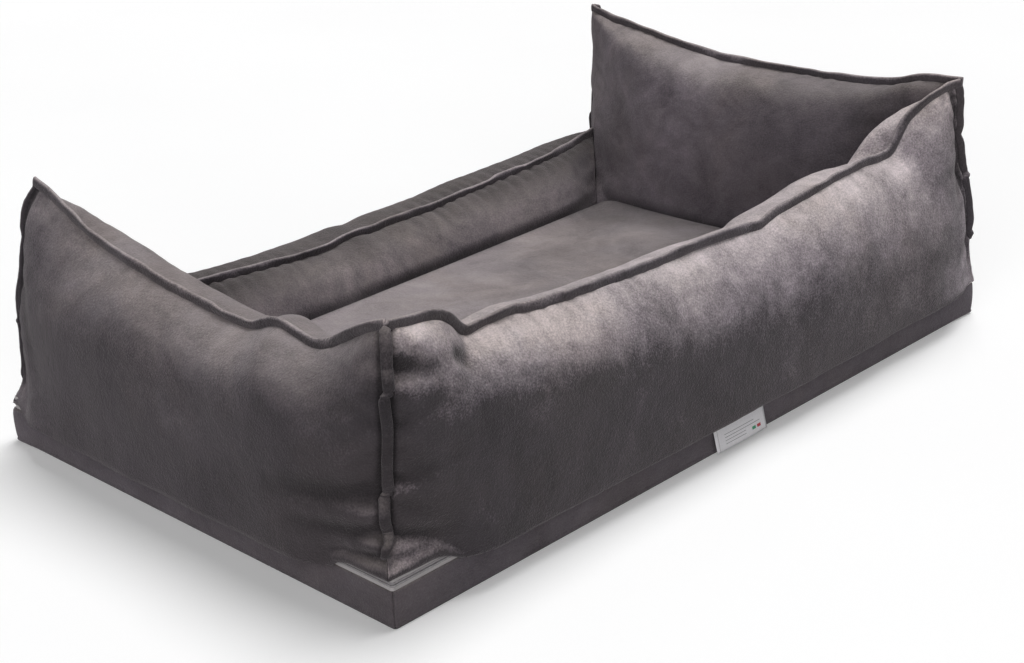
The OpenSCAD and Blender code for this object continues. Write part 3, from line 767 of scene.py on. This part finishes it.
def wall_relief(wall, grid):
    """How far each point stands out of the plain form, in millimetres, and the folds' share of it,
    scaled for the painted shade in their hollows and the painted highlight on their ridges.
    """
    p = grid.points
    along = p[..., 0]
    height = p[..., 2]
    world = turned(p, wall.turn)
    x = grid.from_seam
    e = grid.corner
    stuffing = 3.0 * noise(world, 150, 1) + 1.5 * noise(world, 68, 2)
    valley = 4.5 * (1 - np.exp(-x / 10)) * ease(e / 50)
    wander = 9 * noise_along(along, 60, 3) + 4 * noise_along(along, 22, 4)
    uneven = 0.55 + 0.6 * noise_along(along, 75, 5)
    gather = seam_folds(along + wander, GATHER_STEP, wall.gathers, uneven, x, 17, 2)
    slant = height + 0.35 * e + 7 * noise(world, 45, 6)
    crease = seam_folds(slant, CREASE_STEP, 1.5, 0.5 + 0.7 * noise(world, 60, 7), e, 34, 3)
    hem = np.maximum(grid.from_attach, 0)
    uneven = 0.5 + 0.6 * noise_along(along, 90, 8)
    pull = seam_folds(along + wander, PULL_STEP, 1.4, uneven, hem, 30, 6)
    crumple = 0.45 * noise(world, 13, 9) + 0.25 * noise(world, 6, 10)
    crumple = crumple * (0.35 + np.exp(-x / 30) + np.exp(-e / 40))
    groove = -4.5 * bell(e - 8, 5) * ease((height - zip_top) / 40)
    low_corner = bell(e, 55) * bell(height - zip_top - 16, 16)
    crumple = crumple + low_corner * (1.2 * noise(world, 15, 12) + 0.6 * noise(world, 7, 13))
    outer_only = pull + groove + tucked(wall, along, height)
    fold = gather + crease + crumple + np.where(grid.outside, outer_only, 0)
    from_hem = grid.from_attach - wall.smooth_hem
    held = np.where(grid.outside, ease(from_hem / 14), ease(grid.above_seat / 22))
    at_seam = ease(x / 3)
    return (stuffing + valley + fold) * held * at_seam, fold * held * at_seam / DEEP_FOLD


def keep_clear(wall, points):
    """Points kept between the mitre planes, over the underside and off the seat mat."""
    p = points.copy()
    depth = np.minimum(wall.out - p[..., 1], wall.thickness)
    p[..., 1] = wall.out - depth
    first, last = mitres(wall, depth, corner_gap / 2)
    p[..., 0] = np.clip(p[..., 0], first, last)
    p[..., 2] = np.maximum(p[..., 2], surround_foot)
    return p


def leaned(points):
    """Points of the surround after its corners have leant over, which moves all the pieces there alike."""
    p = np.array(points, dtype=float)
    for (sign_x, sign_y), heights, distances in LEANS:
        corner = np.array([sign_x * bed_length / 2, sign_y * bed_depth / 2])
        away = norm(points[..., :2] - corner)
        near = np.clip(1 - (away / LEAN_REACH) ** 2, 0, 1) ** 2
        z = points[..., 2]
        amount = np.interp(z, heights, distances) * near * ease((z - surround_foot) / 14)
        p += amount[..., None] * LEAN_WAY
    return p


def cap_points(wall, grid, points, at_end):
    """Rows across a wall's end, from the outer to the inner half, puffed where the end stands free."""
    ring = points[-1 if at_end else 0]
    outer = ring[:grid.half]
    inner = ring[grid.seam:grid.foot + 1][::-1]
    rows = mix(outer[:, None], inner[:, None], CAP_SHARES[None, :, None])
    if wall.free_ends[at_end]:
        width = norm(inner - outer)[:, None]
        held = ease((rows[..., 2] - PUFF_START) / PUFF_REACH)
        puff = CAP_PUFF * width * np.sin(math.pi * CAP_SHARES)[None, :] * held
        rows[..., 0] += puff if at_end else -puff
    return rows[1:-1]


def cap_faces(grid, ring_start, row_start, flip):
    """Faces that close a wall's end: its border is the ring, and its inside is the cap's rows."""
    half = grid.half
    rows = half - 2
    columns = CAP_COLUMNS - 1

    def index(row, column):
        if row == half - 1:
            return ring_start + grid.seam
        if column == 0:
            return ring_start + row
        if column == CAP_COLUMNS:
            return ring_start + grid.foot - row
        if row == 0:
            return ring_start + grid.foot + CAP_COLUMNS - column
        return row_start + (row - 1) * columns + column - 1

    faces = []
    for row in range(half - 1):
        for column in range(CAP_COLUMNS):
            corners = ((row, column), (row, column + 1), (row + 1, column + 1), (row + 1, column))
            face = list(dict.fromkeys(index(*corner) for corner in corners))
            if len(face) > 2:
                faces.append(face[::-1] if flip else face)
    return faces, rows * columns


def make_wall(name, wall, material):
    """A stuffed wall as one closed mesh. Gives back its points in the frame's axes for its flanges."""
    grid = wall_grid(wall)
    relief, fold = wall_relief(wall, grid)
    points = grid.points + ring_normals(grid.points) * relief[..., None]
    points = keep_clear(wall, points)
    rings, around = points.shape[:2]
    faces = loop_faces(rings, around, closed=False)
    parts = [points.reshape(-1, 3)]
    start = rings * around
    for at_end in (False, True):
        ring_start = (rings - 1) * around if at_end else 0
        more, count = cap_faces(grid, ring_start, start, flip=at_end)
        faces += more
        parts.append(cap_points(wall, grid, points, at_end).reshape(-1, 3))
        start += count
    world = leaned(turned(np.concatenate(parts), wall.turn))
    piece = make_piece(name + "_wall", world, faces, material, "surround")
    # The folds' depth at each point, which the velvet turns into painted shade and painted highlight
    folds = np.zeros(len(world))
    folds[:fold.size] = fold.ravel()
    piece.data.attributes.new("fold", "FLOAT", "POINT").data.foreach_set("value", folds)
    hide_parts(name + "_cover", name + "_fill")
    return SimpleNamespace(grid=grid, points=leaned(turned(points, wall.turn)))


# Flanges

# Places up the nearest corner where its flange buckles, and how far it shifts sideways there
BUCKLES = ((0.05, 2.4), (0.29, 1.8), (0.74, 2.4))
FLANGE_OUTLINE = np.array([
    [-0.30, -0.14], [-0.40, 0.10], [-0.48, 0.35], [-0.50, 0.62], [-0.44, 0.84], [-0.26, 0.97], [0, 1],
    [0.26, 0.97], [0.44, 0.84], [0.50, 0.62], [0.48, 0.35], [0.40, 0.10], [0.30, -0.14]])


def strip(path, side, up, width, height, lean):
    """Rings of a flange's outline along a path. lean turns it from up towards side, in radians."""
    top = unit(up * np.cos(lean)[:, None] + side * np.sin(lean)[:, None])
    flat = unit(side * np.cos(lean)[:, None] - up * np.sin(lean)[:, None])
    outline = FLANGE_OUTLINE[None]
    return (path[:, None] + flat[:, None] * outline[..., :1] * width[:, None, None]
            + top[:, None] * outline[..., 1:] * height[:, None, None])


def make_strip(name, rings, material):
    """A flange from its rings, which stands for the piping of that name."""
    piece = make_solid(name + "_flange", rings, material, "surround")
    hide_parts(name + "_piping")


def top_flange(name, sewn, ears, material):
    """The raised flange along a wall's top."""
    path = sewn.points[:, sewn.grid.seam]
    ahead = unit(np.gradient(path, axis=0))
    upright = np.array([0, 0, 1.0])
    up = unit(upright - ahead * (ahead @ upright)[:, None])
    side = unit(np.cross(up, ahead))
    run = run_along(path)
    lean = 0.25 * noise_along(run, 70, 21) + 0.22 * noise_along(run, 24, 22)
    width = piping_width * (1 + 0.12 * noise_along(run, 16, 23))
    height = 1.12 * piping_height * (1 + 0.1 * noise_along(run, 30, 24))
    path = path + side * (0.8 * noise_along(run, 20, 25))[:, None]
    for ear, distance, end in zip(ears, (run, run[-1] - run), (0, -1)):
        outward = unit(path[end] * np.array([1, 1, 0]))
        outward = np.array([*np.sign(outward[:2]), 0.0])
        path = path + (ear * bell(distance, 9))[:, None] * outward / math.sqrt(2)
    make_strip(name, strip(path, side, up, width, height, lean), material)


def corner_flange(name, sewn, at_end, signs, lean_to, lean, lowest, wide, tall, buckles, material):
    """The flange down a corner, which lies over to one side and shifts sideways where it buckles."""
    ring = sewn.points[-1 if at_end else 0]
    line = ring[sewn.grid.attach:sewn.grid.seam + 1]
    line = line[line[:, 2] > lowest]
    steps = run_along(line)
    run = np.linspace(0, steps[-1], int(steps[-1] / 2))
    path = np.stack([np.interp(run, steps, line[:, i]) for i in range(3)], -1)
    ahead = unit(np.gradient(path, axis=0))
    out = unit(np.array([*signs, 0.0]))
    out = unit(out - ahead * (ahead @ out)[:, None])
    side = unit(np.cross(ahead, out)) * lean_to
    turn = lean + 0.12 * noise_along(run, 50, 31)
    shift = 0.6 * noise_along(run, 24, 35)
    lift = np.zeros_like(run)
    notch = np.ones_like(run)
    for place, distance in buckles:
        away = (run - place * steps[-1]) / 3.2
        shift = shift + distance * np.tanh(away) * bell(away, 7)
        lift = lift + 1.8 * bell(away, 1)
        notch = notch - 0.3 * (bell(away - 1, 0.45) + bell(away + 1, 0.45))
    path = path + side * shift[:, None] + out * lift[:, None]
    ends = 0.35 + 0.65 * ease(run / 5) * (0.6 + 0.4 * ease((steps[-1] - run) / 5))
    width = wide * (1 + 0.08 * noise_along(run, 14, 33)) * notch * ends
    height = tall * (1 + 0.05 * noise_along(run, 30, 34)) * (0.6 + 0.4 * notch) * ends
    make_strip(name, strip(path, side, out, width, height, turn), material)


# Base

def round_outline(half_x, half_y, radius, step):
    """A rectangle's outline with round corners: points and outward directions."""
    points = []
    outward = []
    corner_points = 14
    for turn in range(4):
        across, along = (half_x, half_y) if turn % 2 == 0 else (half_y, half_x)
        count = int(2 * (along - radius) / step)
        for y in np.linspace(radius - along, along - radius, count, endpoint=False):
            points.append(turned(np.array([across, y, 0.0]), 90 * turn))
            outward.append(turned(np.array([1.0, 0.0, 0.0]), 90 * turn))
        spread = np.linspace(-1, 1, corner_points, endpoint=False)
        for a in math.pi / 4 * (1 + np.sign(spread) * np.abs(spread) ** 1.6):
            centre = np.array([across - radius, along - radius, 0.0])
            direction = np.array([math.cos(a), math.sin(a), 0.0])
            points.append(turned(centre + radius * direction, 90 * turn))
            outward.append(turned(direction, 90 * turn))
    return np.array(points), np.array(outward)


OUTLINE_STEP = 5

# The welt round the base's foot: distance in from the outline and height over the underside
BASE_WELT = [(2.2, 0.0), (0.9, 0.2), (0.0, 1.2), (-0.2, 2.6), (0.5, 3.8), (0.2, 5.2)]

# How far the base's corners bulge: signs of x and y, distance, and the reach of that
BASE_BULGES = (((1, -1), 3), ((-1, 1), 2.5))
BULGE_REACH = 42

# How deep the seam down each of the base's corners lies, and how wide it is as an angle round the corner
CORNER_SEAM = 2.4
CORNER_SEAM_WIDTH = 0.16


def base_outline(step):
    return round_outline(bed_length / 2, bed_depth / 2, base_corner, step)


def make_base(material):
    """The cloth-covered foam base, with sewn corners and a welt round the bottom."""
    outline, outward = base_outline(OUTLINE_STEP)
    low = underside_top
    tall = base_height - low
    rings = [shrunk(outline, share, low) for share in (0.2, 0.6, 0.9, 0.985)]
    side = BASE_WELT + [(-0.9 * math.sin(math.pi * t) ** 0.8 + 0.1, 5.2 + (tall - 8.2) * t)
                        for t in np.linspace(0.08, 1, 14)]
    side += [(0.2, tall - 1.2), (0.8, tall - 0.4), (1.6, tall)]
    turn = np.arccos(np.clip(np.abs(outward).sum(-1) / math.sqrt(2), 0, 1))
    for inset, z in side:
        ring = drawn_in(outline, outward, inset, low + z)
        ring = ring - outward * (CORNER_SEAM * bell(turn, CORNER_SEAM_WIDTH))[:, None]
        held = ease(z / 8) * ease((tall - z) / 8)
        for (sign_x, sign_y), bulge in BASE_BULGES:
            corner = np.array([sign_x * bed_length / 2, sign_y * bed_depth / 2])
            near = bell(norm(outline[:, :2] - corner), BULGE_REACH)
            ring = ring + outward * (bulge * near * (0.88 + 0.12 * held))[:, None]
        wrinkle = 0.7 * noise(ring, 55, 41) + 0.3 * noise(ring, 17, 42)
        rings.append(ring + outward * (wrinkle * held)[:, None])
    rings += [shrunk(outline, share, base_height) for share in (0.98, 0.9, 0.75, 0.5, 0.2)]
    points = np.array(rings)
    points[..., 2] = np.minimum(points[..., 2], base_height)
    piece = make_solid("base_box", points, material, "base")
    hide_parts("base_cover", "base_foam")


def make_bottom(material):
    """The thin non-slip sheet under the base."""
    outline, outward = base_outline(OUTLINE_STEP)
    rings = [shrunk(outline, 0.3, 0), shrunk(outline, 0.8, 0)]
    for inset, z in ((2, 0), (1.2, 0.5), (1.2, 1.1), (2, underside_top)):
        rings.append(drawn_in(outline, outward, inset, z))
    rings.append(shrunk(outline, 0.5, underside_top))
    piece = make_solid("non_slip_bottom", rings, material, "base")
    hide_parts("bottom_panel")


# Seat mat

# How far the mat's sides are drawn in half way along and how far its edge is rounded, then its crown and
# its shoulder towards the back, as rise and distance from the edge
MAT_DRAWN_IN = 3
MAT_ROUNDING = 5
MAT_CROWN = (6, 120)
MAT_SHOULDER = (11, 22)


def make_seat(material):
    """The loose seat mat: a soft slab with round edges, drawn in between its corners."""
    half_x, half_y = (mat_high - mat_low)[:2] / 2
    foot = mat_low[2]
    top = foot + mat_edge
    outline, outward = round_outline(half_x, half_y, seat_corner, OUTLINE_STEP)
    long_side = np.abs(outward[:, 1]) > 0.99
    along_x = outline[:, 0] / (half_x - seat_corner)
    along_y = outline[:, 1] / (half_y - seat_corner)
    place = np.where(long_side, along_x, along_y)
    straight = np.maximum(np.abs(outward[:, 0]), np.abs(outward[:, 1])) > 0.99
    outline = outline - outward * (np.where(straight, MAT_DRAWN_IN * (1 - place ** 2), 0))[:, None]
    rings = [shrunk(outline, share, foot) for share in (0.3, 0.8, 0.97)]
    for a in np.linspace(-1, 1, 15):
        angle = a * math.pi / 2
        inset = MAT_ROUNDING * (1 - math.cos(angle) ** 0.7)
        rings.append(drawn_in(outline, outward, inset, foot + mat_edge * (0.5 + 0.5 * math.sin(angle))))
    rings += [shrunk(outline, share, top) for share in np.linspace(0.95, 0.04, 48)]
    points = np.array(rings)
    on_top = points[..., 2] > top - 0.5
    across = np.minimum(half_x - np.abs(points[..., 0]), half_y - np.abs(points[..., 1]))
    crown, shoulder = (rise * ease(across / reach) for rise, reach in (MAT_CROWN, MAT_SHOULDER))
    rise = crown + shoulder * ease((points[..., 1] + half_y) / 240)
    swell = 1.6 * noise(points, 170, 51) + 0.5 * noise(points, 60, 52)
    points[..., 2] += (rise + swell * ease(across / 60)) * on_top
    points = points + (mat_high + mat_low) / 2 * np.array([1, 1, 0])
    piece = make_solid("seat_mat", points, material, "seat_mat")
    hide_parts("seat_cover", "seat_foam")


# Zip

# Outline of a band's section, as shares of its half thickness and half height
BAND_SECTION = ((-1, -0.8), (-0.8, -1), (0.8, -1), (1, -0.8), (1, 0.8), (0.8, 1), (-0.8, 1), (-1, 0.8))
TAPE_STEP = 6
COIL_STEP = 1.1


def band(name, node, inset, thickness, material, body, ribs):
    """A band that runs round the base's outline at the node's height, with ribs for a zip's coil."""
    low, high = (corner[2] for corner in node_box(node))
    outline, outward = base_outline(COIL_STEP if ribs else TAPE_STEP)
    half = np.full(len(outline), thickness / 2)
    if ribs:
        half = half * (0.72 + 0.28 * (np.arange(len(outline)) % 2))
    rings = [drawn_in(outline, outward, (inset + thickness / 2 + x * half)[:, None],
                      (low + high) / 2 + z * (high - low) / 2) for x, z in BAND_SECTION]
    points = np.array(rings).transpose(1, 0, 2)
    piece = make_piece(name, points, loop_faces(*points.shape[:2]), material, body)
    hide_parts(node)


# Label

TAG_COLUMNS = 30
TAG_ROWS = 14
TAG_THICKNESS = 0.7

# How far the tag stands off the base at its top, how much further at its foot, and how far its foot waves
TAG_CLEAR = 0.6
TAG_SWING = 8.0
TAG_WAVE = 1.0


def make_label(material):
    """The tag, which hangs from its top edge and stands out towards its foot."""
    low, high = node_box("label")
    x = np.linspace(low[0], high[0], TAG_COLUMNS)
    wave = TAG_WAVE * np.sin(3.0 * (x - low[0]) / (high[0] - low[0]))
    front = []
    back = []
    for k in np.linspace(0, 1, TAG_ROWS):
        out = TAG_CLEAR + TAG_SWING * k ** 1.15 + wave * k
        z = np.full(TAG_COLUMNS, high[2] - (high[2] - low[2]) * k * 0.985)
        front.append(np.stack([x, low[1] + out, z], -1))
        back.append(np.stack([x, low[1] + out - TAG_THICKNESS, z], -1))
    rings = np.array(front + back[::-1]).transpose(1, 0, 2)
    piece = make_solid("label_tag", rings, material, "label")
    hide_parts("label")


# Underside of the walls

def make_underside(material):
    """The cloth under the walls: a flat frame from the outline to the seat's opening."""
    low, high = node_box("surround_underside")
    inner_x = bed_length / 2 - arm_thickness
    inner_low = -bed_depth / 2 + front_thickness
    inner_high = bed_depth / 2 - back_thickness
    outline = round_outline((high[0] - low[0]) / 2, (high[1] - low[1]) / 2, 4, 8)[0]
    inner = np.stack([np.clip(outline[:, 0], -inner_x, inner_x),
                      np.clip(outline[:, 1], inner_low, inner_high), 0 * outline[:, 2]], -1)
    rings = [mix(outline, inner, share) + np.array([0, 0, z]) for z, shares in (
        (low[2], (0, 0.25, 0.5, 0.75, 1)), (high[2], (1, 0.5, 0))) for share in shares]
    points = np.array(rings).transpose(1, 0, 2)
    faces = [face[::-1] for face in loop_faces(*points.shape[:2])]
    piece = make_piece("wall_underside", points, faces, material, "surround")
    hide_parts("surround_underside")


# Stage and light

FLOOR_HALF = 9.0
FLOOR_LIFT = 0.18
FLOOR_BOUNCE = 0.45


def make_stage():
    half = FLOOR_HALF
    mesh = bpy.data.meshes.new("floor")
    corners = [(-half, -half, 0), (half, -half, 0), (half, half, 0), (-half, half, 0)]
    mesh.from_pydata(corners, [], [[0, 1, 2, 3]])
    floor = add_object("floor", mesh)
    s = Shader("floor_paint")
    shown = s.seen()
    pale = s.ramp(s.noise(1.5, 2), (0.3, (0.84, 0.84, 0.842)), (0.7, (0.86, 0.86, 0.861)))
    dim = s.mix_colour(FLOOR_BOUNCE, (0, 0, 0, 1), pale)
    colour = s.mix_colour(shown, dim, pale)
    paint = s.node("ShaderNodeBsdfDiffuse", {"Color": colour}).outputs[0]
    glow = s.node("ShaderNodeEmission", {"Strength": s.math("MULTIPLY", shown, FLOOR_LIFT)}).outputs[0]
    both = s.node("ShaderNodeAddShader", {0: paint, 1: glow}).outputs[0]
    s.tree.links.new(both, s.output.inputs["Surface"])
    mesh.materials.append(s.material)


KEY_POWER = 2.25
KEY_ANGLE = 0.6
KEY_FROM = Vector((-0.34, -0.05, 0.94))
FILL_POWER = 1.6
FILL_ANGLE = 1.2
FILL_FROM = Vector((0.7, 0.54, 0.3))
WORLD_COLOUR = (0.96, 0.96, 0.962, 1)
WORLD_LIGHT = 0.117


def make_light():
    for name, power, angle, place in (("key", KEY_POWER, KEY_ANGLE, KEY_FROM),
                                      ("fill", FILL_POWER, FILL_ANGLE, FILL_FROM)):
        lamp = bpy.data.lights.new(name, "SUN")
        lamp.energy = power
        lamp.angle = angle
        light = add_object(name, lamp)
        light.matrix_world = (-place).to_track_quat("-Z", "Y").to_matrix().to_4x4()
    bpy.context.scene.view_settings.view_transform = "Standard"
    world = bpy.data.worlds.new("world")
    world.use_nodes = True
    bpy.context.scene.world = world
    nodes = Nodes(world.node_tree)
    strength = nodes.spread(nodes.seen(), 0.0, 1.0, WORLD_LIGHT, 1.0)
    inputs = {"Color": WORLD_COLOUR, "Strength": strength}
    background = nodes.node("ShaderNodeBackground", inputs).outputs[0]
    nodes.node("ShaderNodeOutputWorld", {"Surface": background})


# The whole scene

make_camera()
make_stage()
make_light()

# Copies of one velvet that differ in lightness by place: painted light and shade for each wall, the seat
# mat, the base and the flanges, on top of their painted light from above and along an axis
back_velvet = velvet(
    "back_velvet", (0.22, 0.2, 0.204), (0.86, 0.789, 0.803), sheen=0.5, shade=0.105,
    light_ramp=("X", -0.46, -0.05, 1.18, 1.0), crevice_shade=0.6, raised=1.0)
arm_velvet = velvet(
    "arm_velvet", (0.15, 0.136, 0.14), (0.36, 0.33, 0.338), sheen=0.4, shade=0.27,
    light_ramp=("Y", 0.18, 0.33, 1.0, 0.84), crevice_shade=0.6)
front_velvet = velvet(
    "front_velvet", (0.09, 0.082, 0.084), (0.275, 0.249, 0.243), sheen=0.35, shade=0.6,
    light_ramp=("Z", 0.108, 0.134, 1.4, 0.43), crevice_shade=0.75)
far_velvet = velvet(
    "far_velvet", (0.1, 0.091, 0.093), (0.33, 0.302, 0.308), sheen=0.25, shade=0.68, mottle=1.4,
    light_ramp=("Y", -0.02, 0.2, 1.14, 0.6), crevice_shade=0.6)
wall_cloth = {"back": back_velvet, "right_arm": arm_velvet, "front": front_velvet, "left_arm": far_velvet}
mat_velvet = velvet(
    "mat_velvet", (0.165, 0.15, 0.154), (0.45, 0.412, 0.421), sheen=0.4, shade=0.5,
    light_ramp=("X", -0.36, -0.06, 0.52, 1.0), crevice_shade=0.6)
base_velvet = velvet("base_velvet", (0.1, 0.092, 0.094), (0.26, 0.24, 0.246), sheen=0.3, shade=0.75)
flange_cloth = velvet(
    "flange_cloth", (0.15, 0.137, 0.14), (0.66, 0.604, 0.616), sheen=0.4, shade=0.19, mottle=0.8)
corner_cloth = velvet(
    "corner_cloth", (0.07, 0.064, 0.066), (0.25, 0.229, 0.234), sheen=0.25, shade=0.3, mottle=0.8)
tape_cloth = plain_cloth("tape_cloth", (0.42, 0.39, 0.396), (0.72, 0.685, 0.69))
coil = coil_plastic("coil")
non_slip = dotted_cloth("non_slip")
metal = painted_metal("zip_metal")
tag = printed_tag("tag")

sewn = {name: make_wall(name, wall, wall_cloth[name]) for name, wall in WALLS.items()}
for name, wall in WALLS.items():
    top_flange(name, sewn[name], wall.ears, flange_cloth)
corner_flange("back_right_corner", sewn["right_arm"], False, (1, 1), lean_to=1, lean=0.3, lowest=72,
              wide=11, tall=7.5, buckles=BUCKLES, material=corner_cloth)
corner_flange("back_left_corner", sewn["left_arm"], True, (-1, 1), lean_to=1, lean=0.3, lowest=98,
              wide=5, tall=9, buckles=((0.42, 2),), material=flange_cloth)
corner_flange("front_right_corner", sewn["right_arm"], True, (1, -1), lean_to=-1, lean=2.15, lowest=78,
              wide=4.4, tall=10, buckles=((0.3, 1.0),), material=arm_velvet)
corner_flange("front_left_corner", sewn["left_arm"], False, (-1, -1), lean_to=-1, lean=1.35, lowest=78,
              wide=6.2, tall=11.4, buckles=((0.3, 1.5),), material=flange_cloth)
make_base(base_velvet)
make_bottom(non_slip)
make_underside(non_slip)
make_seat(mat_velvet)
for part, node_end, inset, thickness, cloth, ribs in (("tape", "tape", 1.6, 0.8, tape_cloth, False),
                                                      ("coil", "chain", 1.0, 2, coil, True)):
    for half, body in (("lower", "base"), ("upper", "surround")):
        node = f"{half}_zip_{node_end}"
        band(f"{half}_{part}", node, inset, thickness, cloth, body, ribs)
make_label(tag)
for node in ("zip_slider", "zip_pull", "zip_end_stop"):
    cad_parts[node].material_slots[0].material = metal
